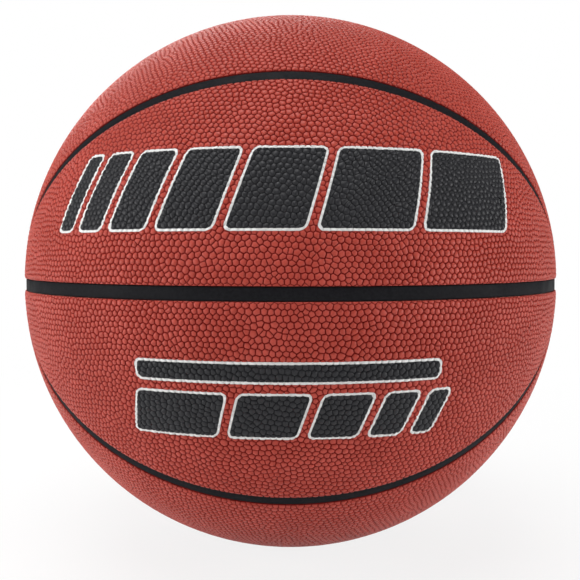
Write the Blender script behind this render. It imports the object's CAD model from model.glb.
import bmesh
import bpy
import random
from math import asin, atan2, cos, hypot, pi, radians, sin, sqrt
from mathutils import Matrix, Vector


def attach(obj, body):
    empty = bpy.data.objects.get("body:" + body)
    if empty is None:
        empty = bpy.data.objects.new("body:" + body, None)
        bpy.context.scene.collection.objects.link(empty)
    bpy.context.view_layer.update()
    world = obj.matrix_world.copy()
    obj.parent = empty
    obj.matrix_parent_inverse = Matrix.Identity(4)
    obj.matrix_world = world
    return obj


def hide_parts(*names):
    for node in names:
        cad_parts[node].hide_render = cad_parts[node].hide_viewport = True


# Basketball: eight pebbled cover panels, black channel strips and a rubber valve, in metres.
# Front is -Y, the equator channel lies in z = 0 and the meridian channel in y = 0.

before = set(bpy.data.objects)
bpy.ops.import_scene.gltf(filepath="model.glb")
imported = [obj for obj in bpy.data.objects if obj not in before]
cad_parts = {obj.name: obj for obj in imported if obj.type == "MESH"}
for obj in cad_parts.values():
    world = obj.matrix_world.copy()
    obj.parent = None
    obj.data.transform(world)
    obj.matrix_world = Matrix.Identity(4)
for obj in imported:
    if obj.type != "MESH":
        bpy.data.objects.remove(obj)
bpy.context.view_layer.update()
print("frame loaded:", len(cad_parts), "nodes")

ball = {
    "radius": 0.121,
    "coverThickness": 0.0012,
    "channelWidth": 0.005,
    "channelDepth": 0.0008,
    "glueLine": 0.0001,  # beside the strips
    "stripFoot": 0.1187,  # radius that the strips stand on
    "ovalSideGap": 0.038,  # on the equator, from meridian to oval
    "ovalHalfHeight": 0.0854,  # from the equator up to the oval
    "ovalEndShare": 0.78,  # how full the oval's ends are
    "valveHeight": 0.027,  # from the equator up to the valve, at the rear
    "weld": 0.000001,  # points nearer to each other than this are one
    "cutSnap": 0.00001,  # points nearer to a trimming plane than this lie on it
}
fullTurn = 2 * pi
ballRadius = ball["radius"]
halfGap = ball["channelWidth"] / 2 + ball["glueLine"]  # from a channel's middle to a panel's edge
valveTilt = ball["valveHeight"] / ballRadius
halfTurns = {  # from the front upper quarter to each of the four
    "front_upper": Matrix.Identity(4),
    "front_lower": Matrix.Rotation(pi, 4, "Y"),
    "rear_upper": Matrix.Rotation(pi, 4, "Z"),
    "rear_lower": Matrix.Rotation(pi, 4, "X"),
}


# The oval is a long arc over the top and a tight one round each end; each is a circle on the ball
def ovalArcs():
    side = pi / 2 - ball["ovalSideGap"] / ballRadius
    top = ball["ovalHalfHeight"] / ballRadius
    fullest = atan2(cos(side) * sin(top), 1 - sin(side) * sin(top))
    endArc = fullest * ball["ovalEndShare"]
    endTurn = side - endArc
    rise = cos(endArc) - cos(endTurn) * cos(top)
    topArc = atan2(rise, cos(endTurn) * sin(top) - sin(endArc))
    topTurn = topArc - top
    topMiddle = Vector((0, -cos(topTurn), -sin(topTurn)))
    endMiddle = Vector((sin(endTurn), -cos(endTurn), 0))
    return topMiddle, topArc, endMiddle, endArc, side


topMiddle, topArc, endMiddle, endArc, ovalSide = ovalArcs()
endSide = endMiddle.cross(topMiddle).normalized()  # points past the oval's right end
# the valve's axis as it lies in the front quarter, before the half turn to the rear
rearValveAxis = Vector((0, -cos(valveTilt), sin(valveTilt)))


def mirrored(point, hand):
    return Vector((point.x * hand, point.y, point.z))


def onRight(point):
    return mirrored(point, 1 if point.x > 0 else -1)


def pastEnd(point):
    return onRight(point).dot(endSide) > 0


def outsideOval(point):  # distance along the ball from the oval's middle line, in the upper half
    if pastEnd(point):
        return (onRight(point).angle(endMiddle) - endArc) * ballRadius
    return (onRight(point).angle(topMiddle) - topArc) * ballRadius


def placeMesh(name, mesh, node, material, body="ball"):
    piece = bpy.data.objects.new(name, mesh)
    bpy.context.scene.collection.objects.link(piece)
    mesh.materials.append(material)
    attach(piece, body)
    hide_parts(node)
    return piece


def meshFrom(bm, name):
    for face in bm.faces:
        face.smooth = True
    mesh = bpy.data.meshes.new(name)
    bm.to_mesh(mesh)
    bm.free()
    return mesh


def roundEdges(bm, edges, width, steps):
    bmesh.ops.bevel(bm, geom=edges, offset=width, offset_type="OFFSET", affect="EDGES",
                    segments=steps, profile=0.5, material=-1, clamp_overlap=True)


class Finish:  # a material and short ways to add its nodes
    def __init__(self, name, **sockets):
        self.material = bpy.data.materials.new(name)
        self.material.use_nodes = True
        self.tree = self.material.node_tree
        self.shader = self.tree.nodes["Principled BSDF"]
        for key, value in sockets.items():
            self.shader.inputs[key.replace("_", " ")].default_value = value

    def add(self, kind, **settings):
        node = self.tree.nodes.new(kind)
        for key, value in settings.items():
            setattr(node, key, value)
        return node

    def feed(self, socket, source):
        if isinstance(source, tuple):
            socket.default_value = (*source, 1)
        elif isinstance(source, (int, float)):
            socket.default_value = source
        else:
            self.tree.links.new(source, socket)

    def math(self, operation, *values):
        node = self.add("ShaderNodeMath", operation=operation)
        for socket, value in zip(node.inputs, values):
            self.feed(socket, value)
        return node.outputs[0]

    def mix(self, amount, first, second):
        node = self.add("ShaderNodeMix", data_type="RGBA")
        for place, value in ((0, amount), (6, first), (7, second)):  # 6 and 7 take colours
            self.feed(node.inputs[place], value)
        return node.outputs[2]

    def step(self, value, low, high, newLow=0.0, newHigh=1.0):
        node = self.add("ShaderNodeMapRange", interpolation_type="SMOOTHSTEP")
        for socket, number in zip(node.inputs, (value, low, high, newLow, newHigh)):
            self.feed(socket, number)
        return node.outputs[0]

    def coords(self):
        return self.add("ShaderNodeTexCoord").outputs["Object"]

    def noise(self, scale, detail=2.0, rough=0.5):
        node = self.add("ShaderNodeTexNoise")
        self.feed(node.inputs["Vector"], self.coords())
        self.feed(node.inputs["Scale"], scale)
        self.feed(node.inputs["Detail"], detail)
        self.feed(node.inputs["Roughness"], rough)
        return node.outputs["Fac"]

    def attribute(self, name):
        return self.add("ShaderNodeAttribute", attribute_name=name).outputs["Fac"]

    def bump(self, height, distance):
        node = self.add("ShaderNodeBump")
        self.feed(node.inputs["Distance"], distance)
        self.feed(node.inputs["Height"], height)
        self.feed(self.shader.inputs["Normal"], node.outputs[0])

    def colour(self, source):
        self.feed(self.shader.inputs["Base Color"], source)

    def roughness(self, source):
        self.feed(self.shader.inputs["Roughness"], source)


# Cover panels: each pebble is a cell with a groove round it, two raised rings and a crown

pebbles = {
    "facets": 3,  # subdivisions of the ball that the pebbles start from
    "rows": 16,  # of pebbles along each facet, about 2.3 mm apart
    "seed": 11,
    "scatter": 0.0007,  # how far they stray from even rows
    "settleRounds": 6,  # of evening out
    "stray": 0.0005,  # how far each strays after that
    "least": 3.1e-6,  # room round a pebble's middle, in square metres, below which it is left out
    "furthest": 0.0036,  # from middle to middle, past which another is put between
    "squareness": 0.8,  # 0 for the roundest cells, 1 for the most angular
    "cornerReach": 0.0006,  # the most that a corner moves for it
    "margin": 0.006,  # of cells past the quarter, trimmed off later
    "grooveDepth": 0.0006,
    "rings": ((0.85, 0.56), (0.64, 1.0)),  # share of the width inside the last, share of the height
    "ringStart": 0.0000001,  # width that a ring is inset by before it is placed
    "roundness": 0.05,
    "roundest": 1.1,  # the most that a ring's corner moves out for it
    "uneven": 0.00004,  # height difference between pebbles
    "edgeGroove": 0.6,  # share of the groove's depth left at a panel's edge
    "rollWidth": 0.0019,  # of a panel's edge into the channel
    "rollDepth": 0.00062,
    "underAngle": 4.5,  # degrees below which faces of the underside are joined
}


def cornerPlace(a, b, c):  # between three pebbles' middles, towards the point as far from each
    ab, ac = b - a, c - a
    square = ab.cross(ac)
    side = square.cross(ab) * ac.length_squared + ac.cross(square) * ab.length_squared
    middle = (a + b + c) / 3
    shift = (a + side / (2 * square.length_squared) - middle) * pebbles["squareness"]
    return middle + shift * min(pebbles["cornerReach"] / shift.length, 1)


def onBall(verts):
    for vert in verts:
        vert.co *= ballRadius / vert.co.length


def keepQuarter(bm):  # the front upper one, with a margin
    margin = pebbles["margin"]
    elsewhere = [v for v in bm.verts if v.co.z < -margin or v.co.y > margin]
    bmesh.ops.delete(bm, geom=elsewhere, context="VERTS")
    onBall(bm.verts)


def insideVerts(bm):
    return [v for v in bm.verts if not v.is_boundary]


def toTriangles(bm):
    bmesh.ops.triangulate(bm, faces=[f for f in bm.faces if len(f.verts) > 3])


def joinNearest(bm):
    bmesh.ops.beautify_fill(bm, faces=bm.faces[:], edges=bm.edges[:], method="ANGLE")


# Leaves out pebbles with too little room, adds some where there is too much, and evens the rest out
def settle(bm):
    crowded = [v for v in insideVerts(bm)
               if sum(f.calc_area() for f in v.link_faces) / 3 < pebbles["least"]]
    bmesh.ops.dissolve_verts(bm, verts=crowded)
    toTriangles(bm)
    wide = [e for e in bm.edges if not e.is_boundary and e.calc_length() > pebbles["furthest"]]
    bmesh.ops.subdivide_edges(bm, edges=wide, cuts=1)
    toTriangles(bm)
    joinNearest(bm)
    middles = {f: (f.calc_area(), f.calc_center_median()) for f in bm.faces}
    for vert in insideVerts(bm):
        room = [middles[f] for f in vert.link_faces]
        vert.co = sum((c * a for a, c in room), Vector()) / sum(a for a, c in room)
    onBall(bm.verts)


def jostle(bm, chance, reach):
    for vert in insideVerts(bm):
        vert.co += Vector([chance.uniform(-reach, reach) for axis in range(3)])
    onBall(bm.verts)
    joinNearest(bm)


def scatterCells():
    bm = bmesh.new()
    bmesh.ops.create_icosphere(bm, subdivisions=pebbles["facets"], radius=ballRadius)
    bmesh.ops.subdivide_edges(bm, edges=bm.edges[:], cuts=pebbles["rows"] - 1, use_grid_fill=True)
    keepQuarter(bm)
    chance = random.Random(pebbles["seed"])
    jostle(bm, chance, pebbles["scatter"])
    for turn in range(pebbles["settleRounds"]):
        settle(bm)
    jostle(bm, chance, pebbles["stray"])
    # triangles between the pebbles' middles become one cell round each middle
    inside = insideVerts(bm)
    rim = [v for v in bm.verts if v.is_boundary]
    between = [e for e in bm.edges if not e.is_boundary]
    corners = bmesh.ops.poke(bm, faces=bm.faces[:], center_mode="MEAN")["verts"]
    places = [cornerPlace(*(e.other_vert(c).co for e in c.link_edges)) for c in corners]
    bmesh.ops.rotate_edges(bm, edges=between, use_ccw=False)
    for corner, place in zip(corners, places):
        corner.co = place
    bmesh.ops.dissolve_verts(bm, verts=inside)
    bmesh.ops.delete(bm, geom=rim, context="VERTS")
    onBall(bm.verts)
    return bm


def trim(bm, faces, normal, level, keepBeyond):
    edges = list(dict.fromkeys(e for f in faces for e in f.edges))
    verts = list(dict.fromkeys(v for f in faces for v in f.verts))
    cut = bmesh.ops.bisect_plane(bm, geom=faces + edges + verts, dist=ball["cutSnap"],
                                 plane_co=normal * level, plane_no=normal)
    unwanted = []
    for face in cut["geom"]:
        if isinstance(face, bmesh.types.BMFace):
            beyond = face.calc_center_median().normalized().dot(normal) * ballRadius > level
            if beyond != keepBeyond:
                unwanted.append(face)
    bmesh.ops.delete(bm, geom=unwanted, context="FACES")


def trimToPanel(cells, side):
    bm = cells.copy()
    trim(bm, bm.faces[:], Vector((0, 0, 1)), halfGap, True)
    trim(bm, bm.faces[:], Vector((0, -1, 0)), halfGap, True)
    inner = side == "inner"
    shift = (-halfGap if inner else halfGap) / ballRadius
    overTop = [f for f in bm.faces if not pastEnd(f.calc_center_median())]
    trim(bm, overTop, topMiddle, ballRadius * cos(topArc + shift), inner)
    for hand in (1, -1):
        atEnd = [f for f in bm.faces if mirrored(f.calc_center_median(), hand).dot(endSide) > 0]
        trim(bm, atEnd, mirrored(endMiddle, hand), ballRadius * cos(endArc + shift), inner)
    return bm


def holeForValve(bm):
    nearValve = [f for f in bm.faces
                 if f.calc_center_median().angle(rearValveAxis) < valve["holeSurround"]]
    level = sqrt(ballRadius ** 2 - valve["holeRadius"] ** 2)
    trim(bm, nearValve, rearValveAxis, level, False)


def thicken(bm, outer, inner):
    undersides = bm.faces[:]
    made = bmesh.ops.extrude_face_region(bm, geom=undersides + bm.edges[:] + bm.verts[:],
                                         use_keep_orig=True)
    tops = [g for g in made["geom"] if isinstance(g, bmesh.types.BMFace)]
    for faces, radius in ((tops, outer), (undersides, inner)):
        for vert in dict.fromkeys(v for f in faces for v in f.verts):
            vert.co *= radius / ballRadius
    return tops, undersides


def edgeDistance(point, side):
    equator = asin(point.z / point.length) * ballRadius
    if side == "inner":
        return min(equator, -outsideOval(point)) - halfGap
    meridian = asin(-point.y / point.length) * ballRadius
    return min(equator, meridian, outsideOval(point)) - halfGap


def surfaceRadius(point, side, lift):  # lift is 0 in a groove and 1 on a crown
    distance = max(edgeDistance(point, side), 0)
    if distance >= pebbles["rollWidth"]:
        return ballRadius - (1 - lift) * pebbles["grooveDepth"]
    inwards = distance / pebbles["rollWidth"]
    groove = pebbles["edgeGroove"] * (1 - inwards) + inwards
    roll = pebbles["rollDepth"] * (1 - sqrt(1 - (1 - inwards) ** 2))
    return ballRadius - (1 - lift) * groove * pebbles["grooveDepth"] - roll


def shapePebbles(bm, tops, side, toPrint):
    height = bm.verts.layers.float.new("height")
    ink = bm.verts.layers.float.new("ink")
    for vert in bm.verts:
        vert[ink] = printLook["none"]
    chance = random.Random(pebbles["seed"])
    grooves = dict.fromkeys(v for f in tops for v in f.verts)
    topSet = set(tops)
    cells = []
    for face in tops:
        atEdge = any(f not in topSet for v in face.verts for f in v.link_faces)
        roundness = 0 if atEdge else pebbles["roundness"]
        cells.append((face, face.calc_center_median(), chance.uniform(-1, 0), roundness))
    for vert in grooves:
        vert[ink] = toPrint(vert.co)
        fromLine = abs(vert[ink] - printLook["keyline"] / 2)
        lift = printLook["fill"] * max(1 - fromLine / printLook["reach"], 0)
        vert.co *= surfaceRadius(vert.co, side, lift) / vert.co.length
        vert[height] = lift
    for width, lift in pebbles["rings"]:
        bmesh.ops.inset_individual(bm, faces=tops, thickness=pebbles["ringStart"])
        for face, middle, luck, roundness in cells:
            spokes = [v.co - middle for v in face.verts]
            mean = sum(s.length for s in spokes) / len(spokes)
            for vert, spoke in zip(face.verts, spokes):
                rounder = 1 + roundness * (mean / max(spoke.length, mean / 2) - 1)
                vert.co = middle + spoke * width * min(rounder, pebbles["roundest"])
                radius = surfaceRadius(vert.co, side, lift) + luck * pebbles["uneven"]
                vert.co *= radius / vert.co.length
                vert[height] = lift
                vert[ink] = toPrint(vert.co)


def coverPanel(cells, side, pierced=False, rows=(), turn=Matrix.Identity(4)):
    bm = cells.copy()
    if pierced:
        holeForValve(bm)
    tops, undersides = thicken(bm, ballRadius, ballRadius - ball["coverThickness"])
    underSet = set(undersides)
    shapePebbles(bm, tops, side, lambda point: printDistance(turn @ point, rows))
    underEdges = dict.fromkeys(e for f in undersides for e in f.edges)
    seams = [e for e in underEdges if all(f in underSet for f in e.link_faces)]
    bmesh.ops.dissolve_limit(bm, angle_limit=radians(pebbles["underAngle"]),
                             use_dissolve_boundaries=False, verts=[], edges=seams)
    return meshFrom(bm, "coverPanel")


# Print on the two front panels: rows of leaning bars and a plain strip, black inside a white line

printLook = {
    "keyline": 0.0009,
    "edge": 0.0003,  # pressed line round the white one
    "pressed": 0.7,  # share of the grooves' colour in it
    "soft": 0.00006,  # how far inks run into each other
    "fill": 0.9,  # how far ink fills the grooves under the white line
    "reach": 0.0009,
    "gap": 0.0048,
    "corner": 0.0018,
    "search": 0.004,  # how far above and below a row its bars are looked for
    "none": 1.0,  # distance given where there is no print
}
printRows = {
    "front_upper": (
        {"rise": 0.0365, "height": 0.029, "lean": 0.3,
         "bars": (0.008, 0.011, 0.015, 0.02, 0.026, 0.032, 0.038)},
    ),
    "front_lower": (
        {"rise": -0.027, "height": 0.0062, "lean": 0.0, "bars": (0.11,)},
        {"rise": -0.0435, "height": 0.0165, "lean": 0.3,
         "bars": (0.033, 0.024, 0.017, 0.012, 0.008)},
    ),
}


def roundedBar(x, y, corner):
    x += corner
    y += corner
    return hypot(max(x, 0), max(y, 0)) + min(max(x, y), 0) - corner


def printDistance(point, rows):  # to the nearest bar's edge, below 0 inside it
    nearest = printLook["none"]
    if rows:
        across = atan2(point.x, -point.y) * ballRadius
        up = asin(point.z / point.length) * ballRadius
    for row in rows:
        fromMiddle = up - row["rise"]
        beyond = abs(fromMiddle) - row["height"] / 2
        if beyond > printLook["search"]:
            continue
        leant = across * cos(row["rise"] / ballRadius) - row["lean"] * fromMiddle
        left = -(sum(row["bars"]) + printLook["gap"] * (len(row["bars"]) - 1)) / 2
        for width in row["bars"]:
            aside = abs(leant - left - width / 2) - width / 2
            nearest = min(nearest, roundedBar(aside, beyond, printLook["corner"]))
            left += width + printLook["gap"]
    return nearest


leather = {
    "top": (0.422, 0.052, 0.033),
    "worn": (0.472, 0.066, 0.045),
    "wornPatches": (60, 3),  # noise scale and detail
    "wornRange": (0.35, 0.7),
    "groove": (0.185, 0.0015, 0.0005),
    "grooveRange": (0.15, 0.95),  # heights between which its colour gives way to the top's
    "black": (0.022, 0.022, 0.025),
    "white": (0.78, 0.78, 0.77),
    "gloss": 0.25,
    "roughness": (0.38, 0.52),
    "grooveRoughness": 0.95,
    "dullRange": (0.4, 0.9),  # heights between which that gives way
    "pores": (2600, 2, 0.6),  # noise scale, detail and roughness
    "poreRange": (0.3, 0.7),
    "poreDepth": 0.00006,
}


def leatherFinish(name, printed):
    finish = Finish(name, Specular_IOR_Level=leather["gloss"])
    height = finish.attribute("height")
    wear = finish.step(finish.noise(*leather["wornPatches"]), *leather["wornRange"])
    top = finish.mix(wear, leather["top"], leather["worn"])
    cover = finish.mix(finish.step(height, *leather["grooveRange"]), leather["groove"], top)
    if printed:
        ink = finish.attribute("ink")
        line, soft = printLook["keyline"], printLook["soft"]
        edge = finish.step(ink, line + printLook["edge"], line)
        pressed = finish.math("MULTIPLY", edge, printLook["pressed"])
        cover = finish.mix(pressed, cover, leather["groove"])
        cover = finish.mix(finish.step(ink, line + soft, line - soft), cover, leather["white"])
        cover = finish.mix(finish.step(ink, soft, -soft), cover, leather["black"])
    finish.colour(cover)
    pores = finish.noise(*leather["pores"])
    onTop = finish.step(pores, *leather["poreRange"], *leather["roughness"])
    inGroove = finish.step(height, *leather["dullRange"], leather["grooveRoughness"], 0.0)
    finish.roughness(finish.math("MAXIMUM", onTop, inGroove))
    finish.bump(pores, leather["poreDepth"])
    return finish.material


coverLeather = leatherFinish("coverLeather", False)
printedLeather = leatherFinish("printedLeather", True)


# Channel strips: one profile swept round each channel

strips = {
    "turnSteps": 240,  # for a whole circle
    "leastSteps": 8,
    "edge": 0.0005,
    "edgeSteps": 3,
    "edgeBand": 0.0002,  # below the strip's top, in which edges are rounded
    "sharp": 1,  # radians past which they are
    "rubber": (0.0105, 0.0105, 0.012),
    "roughness": 0.55,
    "gloss": 0.03,
}
stripTop = ballRadius - ball["channelDepth"]
halfStrip = ball["channelWidth"] / 2


def turnAngle(axis, start, end):
    flatStart = start - axis * start.dot(axis)
    flatEnd = end - axis * end.dot(axis)
    return atan2(axis.dot(flatStart.cross(flatEnd)), flatStart.dot(flatEnd))


def sweep(bm, geom, axis, angle):
    steps = max(round(abs(angle) / fullTurn * strips["turnSteps"]), strips["leastSteps"])
    made = bmesh.ops.spin(bm, geom=geom, cent=(0, 0, 0), axis=axis, angle=angle, steps=steps,
                          use_merge=(angle == fullTurn))
    return made["geom_last"]


def closeProfile(bm, corners):
    verts = [bm.verts.new(c) for c in corners]
    edges = [bm.edges.new((verts[i - 1], verts[i])) for i in range(len(verts))]
    return verts + edges


def finishStrip(bm):
    bmesh.ops.remove_doubles(bm, verts=bm.verts[:], dist=ball["weld"])
    bmesh.ops.holes_fill(bm, edges=[e for e in bm.edges if e.is_boundary], sides=0)
    bmesh.ops.recalc_face_normals(bm, faces=bm.faces[:])
    low = max(v.co.length for v in bm.verts) - strips["edgeBand"]
    rims = [e for e in bm.edges if min(v.co.length for v in e.verts) > low
            and e.calc_face_angle(0) > strips["sharp"]]
    roundEdges(bm, rims, strips["edge"], strips["edgeSteps"])
    return meshFrom(bm, "channelStrip")


def ringStrip(turn):
    bm = bmesh.new()
    foot = ball["stripFoot"]
    corners = [(foot, 0, -halfStrip), (stripTop, 0, -halfStrip),
               (stripTop, 0, halfStrip), (foot, 0, halfStrip)]
    sweep(bm, closeProfile(bm, corners), Vector((0, 0, 1)), fullTurn)
    bmesh.ops.transform(bm, matrix=turn, verts=bm.verts[:])
    return bm


def cutLow(bm):  # leaves what is above the equator's strip
    bmesh.ops.remove_doubles(bm, verts=bm.verts[:], dist=ball["weld"])
    bmesh.ops.bisect_plane(bm, geom=bm.verts[:] + bm.edges[:] + bm.faces[:], dist=ball["weld"],
                           plane_co=(0, 0, halfGap), plane_no=(0, 0, 1), clear_inner=True)


def ovalStrip():
    bm = bmesh.new()
    foot, reach = ball["stripFoot"], halfStrip / ballRadius
    corners = []
    for radius, turn in ((foot, -reach), (stripTop, -reach), (stripTop, reach), (foot, reach)):
        corners.append(Vector((sin(ovalSide + turn), -cos(ovalSide + turn), 0)) * radius)
    rightEnd = Vector((sin(ovalSide), -cos(ovalSide), 0))
    across = (endMiddle - topMiddle * endMiddle.dot(topMiddle)).normalized()
    rightJoin = topMiddle * cos(topArc) + across * sin(topArc)
    leftMiddle = mirrored(endMiddle, -1)
    leftJoin = mirrored(rightJoin, -1)
    last = closeProfile(bm, corners)
    last = sweep(bm, last, endMiddle, turnAngle(endMiddle, rightEnd, rightJoin))
    last = sweep(bm, last, topMiddle, turnAngle(topMiddle, rightJoin, leftJoin))
    sweep(bm, last, leftMiddle, turnAngle(leftMiddle, leftJoin, mirrored(rightEnd, -1)))
    cutLow(bm)
    return finishStrip(bm)


rubber = {  # what the black strips, the valve, the carcass and the bladder share
    "grain": (900, 4, 0.6),  # noise scale, detail and roughness
    "range": (0.3, 0.7),
    "paler": 1.5,  # the grain's light side against its dark side
    "depth": 0.00003,
    "patches": (120, 3),  # noise scale and detail
    "patchRoughness": (-0.05, 0.08),  # against the piece's own
}


def rubberFinish(name, colour, roughness, gloss):
    finish = Finish(name, Specular_IOR_Level=gloss)
    grain = finish.noise(*rubber["grain"])
    paler = tuple(c * rubber["paler"] for c in colour)
    finish.colour(finish.mix(finish.step(grain, *rubber["range"]), colour, paler))
    ends = (roughness + change for change in rubber["patchRoughness"])
    finish.roughness(finish.step(finish.noise(*rubber["patches"]), *rubber["range"], *ends))
    finish.bump(grain, rubber["depth"])
    return finish.material


channelRubber = rubberFinish("channelRubber", strips["rubber"], strips["roughness"],
                             strips["gloss"])


# Valve: boot in the wall and the plug that pulls out of it, both turned round the valve's axis

valve = {
    "turnSteps": 64,
    "holeRadius": 0.0041,  # through the cover
    "holeSurround": 0.12,  # radians round the valve in which the cover is cut
    "top": 0.1207,
    "neck": 0.004,
    "stem": 0.005,
    "foot": 0.0997,
    "mouth": 0.00305,
    "seat": 0.11925,
    "bore": 0.00235,
    "flange": 0.015,
    "flangeTop": 0.1162,  # radius of the flange's upper face, about the ball's middle
    "flangeLow": 0.1152,
    "flangeSteps": 6,
    "plugHead": 0.003,
    "plugSeat": 0.1193,
    "plugShank": 0.0023,
    "plugTip": 0.1007,
    "tipTaper": 0.0008,
    "needle": 0.00095,
    "needleLead": 0.0005,
    "needleEnd": 0.1052,
    "slit": (0.0002, 0.00186),
    "slitSnap": 0.0000001,  # points nearer to the slit's sides than this lie on them
    "edge": 0.00016,
    "edgeSteps": 3,
    "edgeFrom": 0.11915,  # height past which edges are rounded
    "sharp": 0.7,  # radians past which they are
    "rubber": (0.009, 0.009, 0.01),
    "roughness": 0.5,
    "gloss": 0.2,
}


def turnRound(outline, closed):
    bm = bmesh.new()
    verts = [bm.verts.new((radius, 0, height)) for radius, height in outline]
    edges = [bm.edges.new(pair) for pair in zip(verts, verts[1:])]
    if closed:
        edges.append(bm.edges.new((verts[-1], verts[0])))
    bmesh.ops.spin(bm, geom=verts + edges, cent=(0, 0, 0), axis=(0, 0, 1), angle=fullTurn,
                   steps=valve["turnSteps"], use_merge=True)
    bmesh.ops.remove_doubles(bm, verts=bm.verts[:], dist=ball["weld"])
    return bm


def finishValve(bm, name):
    bmesh.ops.recalc_face_normals(bm, faces=bm.faces[:])
    sharp = [e for e in bm.edges if e.is_manifold and e.calc_face_angle() > valve["sharp"]
             and e.verts[0].co.z > valve["edgeFrom"]]
    roundEdges(bm, sharp, valve["edge"], valve["edgeSteps"])
    turn = Matrix.Rotation(valveTilt - pi / 2, 4, "X")
    bmesh.ops.transform(bm, matrix=turn, verts=bm.verts[:])
    return meshFrom(bm, name)


def flangeFace(start, end, ballDistance):  # from one distance off the axis to another
    steps = valve["flangeSteps"]
    offAxis = [start + (end - start) * step / steps for step in range(steps + 1)]
    return [(radius, sqrt(ballDistance ** 2 - radius ** 2)) for radius in offAxis]


def valveBoot():
    top, seat, foot = valve["top"], valve["seat"], valve["foot"]
    neck, mouth, bore, stem = valve["neck"], valve["mouth"], valve["bore"], valve["stem"]
    outline = [(neck, top), (mouth, top), (mouth, seat), (bore, seat), (bore, foot), (stem, foot)]
    outline += flangeFace(stem, valve["flange"], valve["flangeLow"])
    outline += flangeFace(valve["flange"], neck, valve["flangeTop"])
    return finishValve(turnRound(outline, True), "valveBoot")


def facesAt(bm, height):
    return [f for f in bm.faces if abs(f.calc_center_median().z - height) < ball["weld"]]


def cutSlit(bm, height):  # opens the slit in the flat end at this height and gives its rim
    halfWidth, halfLength = (size / 2 for size in valve["slit"])
    for axis, half in ((Vector((1, 0, 0)), halfWidth), (Vector((0, 1, 0)), halfLength)):
        for hand in (1, -1):
            ends = facesAt(bm, height)
            if axis.y:
                ends = [f for f in ends if abs(f.calc_center_median().x) < halfWidth]
            edges = list(dict.fromkeys(e for f in ends for e in f.edges))
            verts = list(dict.fromkeys(v for e in edges for v in e.verts))
            bmesh.ops.bisect_plane(bm, geom=ends + edges + verts, dist=valve["slitSnap"],
                                   plane_co=axis * half * hand, plane_no=axis)
    middle = min(facesAt(bm, height), key=lambda f: f.calc_center_median().xy.length)
    rim = middle.edges[:]
    bmesh.ops.delete(bm, geom=[middle], context="FACES_ONLY")
    return rim


def valvePlug():
    tip, seat, top = valve["plugTip"], valve["plugSeat"], valve["top"]
    shank, taper, head = valve["plugShank"], valve["tipTaper"], valve["plugHead"]
    needle, lead = valve["needle"], valve["needleLead"]
    outline = [(shank - taper, tip), (shank, tip + 2 * taper), (shank, seat), (head, seat),
               (head, top), (needle + lead, top), (needle, top - lead),
               (needle, valve["needleEnd"])]
    bm = turnRound(outline, False)
    bmesh.ops.holes_fill(bm, edges=[e for e in bm.edges if e.is_boundary], sides=0)
    rims = cutSlit(bm, tip) + cutSlit(bm, valve["needleEnd"])
    bmesh.ops.bridge_loops(bm, edges=rims)
    return finishValve(bm, "valvePlug")


valveRubber = rubberFinish("valveRubber", valve["rubber"], valve["roughness"], valve["gloss"])


# Layers under the cover: foam pads, rubber carcass, thread winding and bladder

pads = {
    "outer": 0.1197,  # radius of the upper face
    "inner": 0.1187,
    "facets": 6,  # subdivisions of the ball that the pads are cut from
    "edge": 0.0003,
    "edgeSteps": 2,
    "sharp": 1,  # radians past which edges are rounded
    "foam": (0.42, 0.40, 0.34),
    "foamDark": (0.30, 0.28, 0.23),
    "roughness": 0.95,
    "gloss": 0.1,
    "bubbles": 1600,  # to the metre
    "bubbleRange": (0.2, 0.7),
    "bubbleDepth": 0.0001,
}


def padCells():
    bm = bmesh.new()
    bmesh.ops.create_icosphere(bm, subdivisions=pads["facets"], radius=ballRadius)
    keepQuarter(bm)
    return bm


def cushionPad(cells, pierced=False):
    bm = cells.copy()
    if pierced:
        holeForValve(bm)
    thicken(bm, pads["outer"], pads["inner"])
    bmesh.ops.recalc_face_normals(bm, faces=bm.faces[:])
    rims = [e for e in bm.edges if e.calc_face_angle(0) > pads["sharp"]]
    roundEdges(bm, rims, pads["edge"], pads["edgeSteps"])
    return meshFrom(bm, "cushionPad")


def foamFinish():
    finish = Finish("cushionFoam", Roughness=pads["roughness"], Specular_IOR_Level=pads["gloss"])
    bubbles = finish.add("ShaderNodeTexVoronoi")
    finish.feed(bubbles.inputs["Vector"], finish.coords())
    finish.feed(bubbles.inputs["Scale"], pads["bubbles"])
    fromMiddle = bubbles.outputs["Distance"]
    paler = finish.step(fromMiddle, *pads["bubbleRange"])
    finish.colour(finish.mix(paler, pads["foamDark"], pads["foam"]))
    finish.bump(fromMiddle, pads["bubbleDepth"])
    return finish.material


winding = {
    "thread": (0.62, 0.60, 0.54),
    "between": (0.16, 0.15, 0.13),
    "threadRange": (0.5, 0.9),
    "rounds": 260,  # wave scale
    "wander": (25, 2),  # noise scale and detail
    "wanderReach": 3,
    "depth": 0.0002,
    "roughness": 0.7,
    "gloss": 0.2,
}


def threadFinish():  # thread laid round the ball in three crossing directions
    finish = Finish("windingThread", Roughness=winding["roughness"],
                    Specular_IOR_Level=winding["gloss"])
    wander = finish.math("MULTIPLY", finish.noise(*winding["wander"]), winding["wanderReach"])
    rounds = None
    for direction in ("X", "Y", "Z"):
        bands = finish.add("ShaderNodeTexWave", bands_direction=direction, wave_profile="SIN")
        finish.feed(bands.inputs["Vector"], finish.coords())
        finish.feed(bands.inputs["Scale"], winding["rounds"])
        finish.feed(bands.inputs["Distortion"], wander)
        laid = bands.outputs["Fac"]
        rounds = laid if rounds is None else finish.math("MAXIMUM", rounds, laid)
    shown = finish.step(rounds, *winding["threadRange"])
    finish.colour(finish.mix(shown, winding["between"], winding["thread"]))
    finish.bump(rounds, winding["depth"])
    return finish.material


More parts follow.
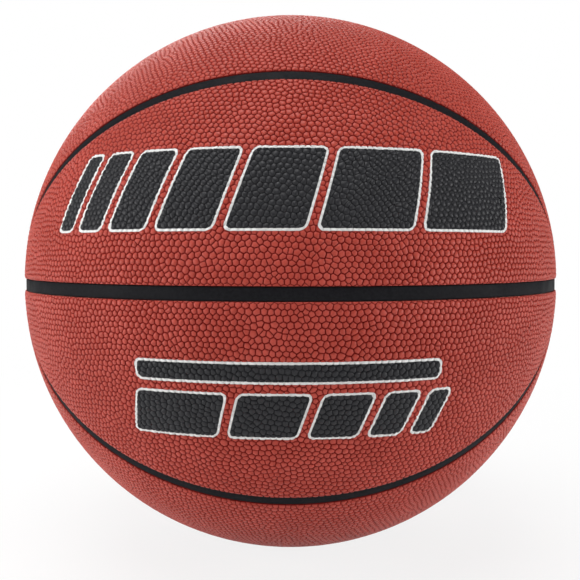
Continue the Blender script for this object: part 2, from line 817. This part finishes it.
walls = {  # colour, roughness, gloss
    "carcass": ((0.022, 0.022, 0.024), 0.7, 0.25),
    "bladder": ((0.014, 0.014, 0.015), 0.45, 0.4),
}


# Building the ball, from the cover inwards

cells = scatterCells()
print("pebbles laid out:", len(cells.faces), "for one quarter of the ball")
panelCells = {side: trimToPanel(cells, side) for side in ("inner", "outer")}
plainPanels = {side: coverPanel(panelCells[side], side) for side in panelCells}
for quarter, turn in halfTurns.items():
    for side, pattern in plainPanels.items():
        mesh = pattern.copy()
        material = coverLeather
        if side == "inner" and quarter in printRows:
            mesh = coverPanel(panelCells[side], side, rows=printRows[quarter], turn=turn)
            material = printedLeather
        elif side == "inner" and quarter == "rear_upper":
            mesh = coverPanel(panelCells[side], side, pierced=True)
        mesh.transform(turn)
        name = f"cover_panel_{quarter}_{side}"
        placeMesh(f"pebbled_{name}", mesh, name, material)
for side, pattern in plainPanels.items():
    print(side, "panels done, triangles each:", sum(len(p.vertices) - 2 for p in pattern.polygons))

equator = finishStrip(ringStrip(Matrix.Identity(4)))
placeMesh("rubber_channel_strip_equator", equator, "channel_strip_equator",
          channelRubber)
halfRing = ringStrip(Matrix.Rotation(pi / 2, 4, "X"))
cutLow(halfRing)
meridian = finishStrip(halfRing)
for part, turn in (("upper", Matrix.Identity(4)), ("lower", Matrix.Rotation(pi, 4, "X"))):
    mesh = meridian.copy()
    mesh.transform(turn)
    name = f"channel_strip_meridian_{part}"
    placeMesh(f"rubber_{name}", mesh, name, channelRubber)
oval = ovalStrip()
for quarter, turn in halfTurns.items():
    mesh = oval.copy()
    mesh.transform(turn)
    name = f"channel_strip_oval_{quarter}"
    placeMesh(f"rubber_{name}", mesh, name, channelRubber)
print("strips done")

placeMesh("rubber_valve_boot", valveBoot(), "valve_boot", valveRubber)
placeMesh("rubber_valve_plug", valvePlug(), "valve_plug", valveRubber, "plug")
print("valve done")

padFoam = foamFinish()
padPatches = {side: trimToPanel(padCells(), side) for side in ("inner", "outer")}
for quarter, turn in halfTurns.items():
    for side, patch in padPatches.items():
        mesh = cushionPad(patch, pierced=(side == "inner" and quarter == "rear_upper"))
        mesh.transform(turn)
        name = f"cushion_pad_{quarter}_{side}"
        placeMesh(f"foam_{name}", mesh, name, padFoam)
wallFinishes = {
    "carcass": rubberFinish("carcassRubber", *walls["carcass"]),
    "thread_winding": threadFinish(),
    "bladder": rubberFinish("bladderRubber", *walls["bladder"]),
}
for name, material in wallFinishes.items():
    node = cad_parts[name]
    node.data.materials.clear()
    node.data.materials.append(material)
print("layers under the cover done")


# Studio: pale floor, white surround, soft lamps

studio = {
    "floorReach": 3,
    "floorGap": 0.0002,  # under the ball
    "floorColour": (0.88, 0.88, 0.88),
    "floorRoughness": 0.9,
    "floorGloss": 0.1,
    "floorFade": (0.15, 0.6),  # distances from the ball's middle between which it turns white
    "floorWhite": (0.84, 1.0),  # share of plain white there
    "surround": 0.05,
    "backdropFrom": (0.4, 1.1),  # y of a direction, from no white behind the ball to all of it
    "lamps": (  # place, size, watts
        ((-1.2, -0.35, 0.15), 0.7, 10.5),
        ((1.2, -0.35, 0.1), 0.7, 10.2),
        ((-0.15, -0.3, 1.15), 1.0, 13.5),
        ((-0.3, 1.1, 0.65), 1.0, 9.0),
    ),
}


def turnToBall(place):
    return (-Vector(place)).to_track_quat("-Z", "Y").to_euler()


def floorFinish():
    finish = Finish("floorPaper", Roughness=studio["floorRoughness"],
                    Specular_IOR_Level=studio["floorGloss"])
    finish.colour(studio["floorColour"])
    white = finish.add("ShaderNodeEmission")
    seen = finish.add("ShaderNodeLightPath")
    blend = finish.add("ShaderNodeMixShader")
    shown = finish.math("MAXIMUM", seen.outputs["Is Camera Ray"], seen.outputs["Is Glossy Ray"])
    shown = finish.math("MAXIMUM", shown, seen.outputs["Is Transmission Ray"])
    away = finish.add("ShaderNodeVectorMath", operation="LENGTH")
    finish.feed(away.inputs[0], finish.coords())
    whiter = finish.step(away.outputs["Value"], *studio["floorFade"], *studio["floorWhite"])
    finish.feed(blend.inputs[0], finish.math("MULTIPLY", shown, whiter))
    finish.feed(blend.inputs[1], finish.shader.outputs[0])
    finish.feed(blend.inputs[2], white.outputs[0])
    output = finish.tree.nodes["Material Output"]
    finish.feed(output.inputs["Surface"], blend.outputs[0])
    return finish.material


def layFloor():
    bm = bmesh.new()
    bmesh.ops.create_grid(bm, x_segments=1, y_segments=1, size=studio["floorReach"])
    down = -ballRadius - studio["floorGap"]
    bmesh.ops.translate(bm, verts=bm.verts[:], vec=(0, 0, down))
    mesh = bpy.data.meshes.new("floor")
    bm.to_mesh(mesh)
    bm.free()
    floor = bpy.data.objects.new("floor", mesh)
    bpy.context.scene.collection.objects.link(floor)
    mesh.materials.append(floorFinish())


def setSurround():  # dim light all round, white to the camera and behind the ball in its gloss
    world = bpy.data.worlds.new("surround")
    bpy.context.scene.world = world
    world.use_nodes = True
    nodes = world.node_tree.nodes
    links = world.node_tree.links
    background = nodes["Background"]
    background.inputs["Color"].default_value = (1, 1, 1, 1)
    path = nodes.new("ShaderNodeLightPath")
    facing = nodes.new("ShaderNodeSeparateXYZ")
    links.new(nodes.new("ShaderNodeTexCoord").outputs["Generated"], facing.inputs[0])
    behind = nodes.new("ShaderNodeMapRange")
    behind.inputs[1].default_value, behind.inputs[2].default_value = studio["backdropFrom"]
    links.new(facing.outputs["Y"], behind.inputs[0])
    mirrorSees = nodes.new("ShaderNodeMath")
    mirrorSees.operation = "MULTIPLY"
    links.new(behind.outputs[0], mirrorSees.inputs[0])
    links.new(path.outputs["Is Glossy Ray"], mirrorSees.inputs[1])
    seen = nodes.new("ShaderNodeMath")
    seen.operation = "MAXIMUM"
    links.new(path.outputs["Is Camera Ray"], seen.inputs[0])
    links.new(mirrorSees.outputs[0], seen.inputs[1])
    strength = nodes.new("ShaderNodeMix")
    links.new(seen.outputs[0], strength.inputs[0])
    strength.inputs[2].default_value = studio["surround"]
    strength.inputs[3].default_value = 1
    links.new(strength.outputs[0], background.inputs["Strength"])


def hangLamps():
    for number, (place, size, watts) in enumerate(studio["lamps"]):
        lamp = bpy.data.lights.new(f"softbox{number}", "AREA")
        lamp.shape = "DISK"
        lamp.size = size
        lamp.energy = watts
        holder = bpy.data.objects.new(lamp.name, lamp)
        holder.location = place
        holder.rotation_euler = turnToBall(place)
        holder.visible_camera = False
        bpy.context.scene.collection.objects.link(holder)


camera = {
    "place": (0.0031, -0.3869, 0.0141),
    "lens": 50.2,
    "sensor": 36,
    "shift": (-0.0009, -0.0155),  # the ball sits a little above the picture's middle
}


def placeCamera():
    data = bpy.data.cameras.new("camera")
    data.lens = camera["lens"]
    data.sensor_width = camera["sensor"]
    data.shift_x, data.shift_y = camera["shift"]
    holder = bpy.data.objects.new("camera", data)
    holder.location = camera["place"]
    holder.rotation_euler = turnToBall(camera["place"])
    bpy.context.scene.collection.objects.link(holder)
    bpy.context.scene.camera = holder


layFloor()
setSurround()
hangLamps()
placeCamera()
bpy.context.scene.view_settings.view_transform = "Standard"
print("studio done")
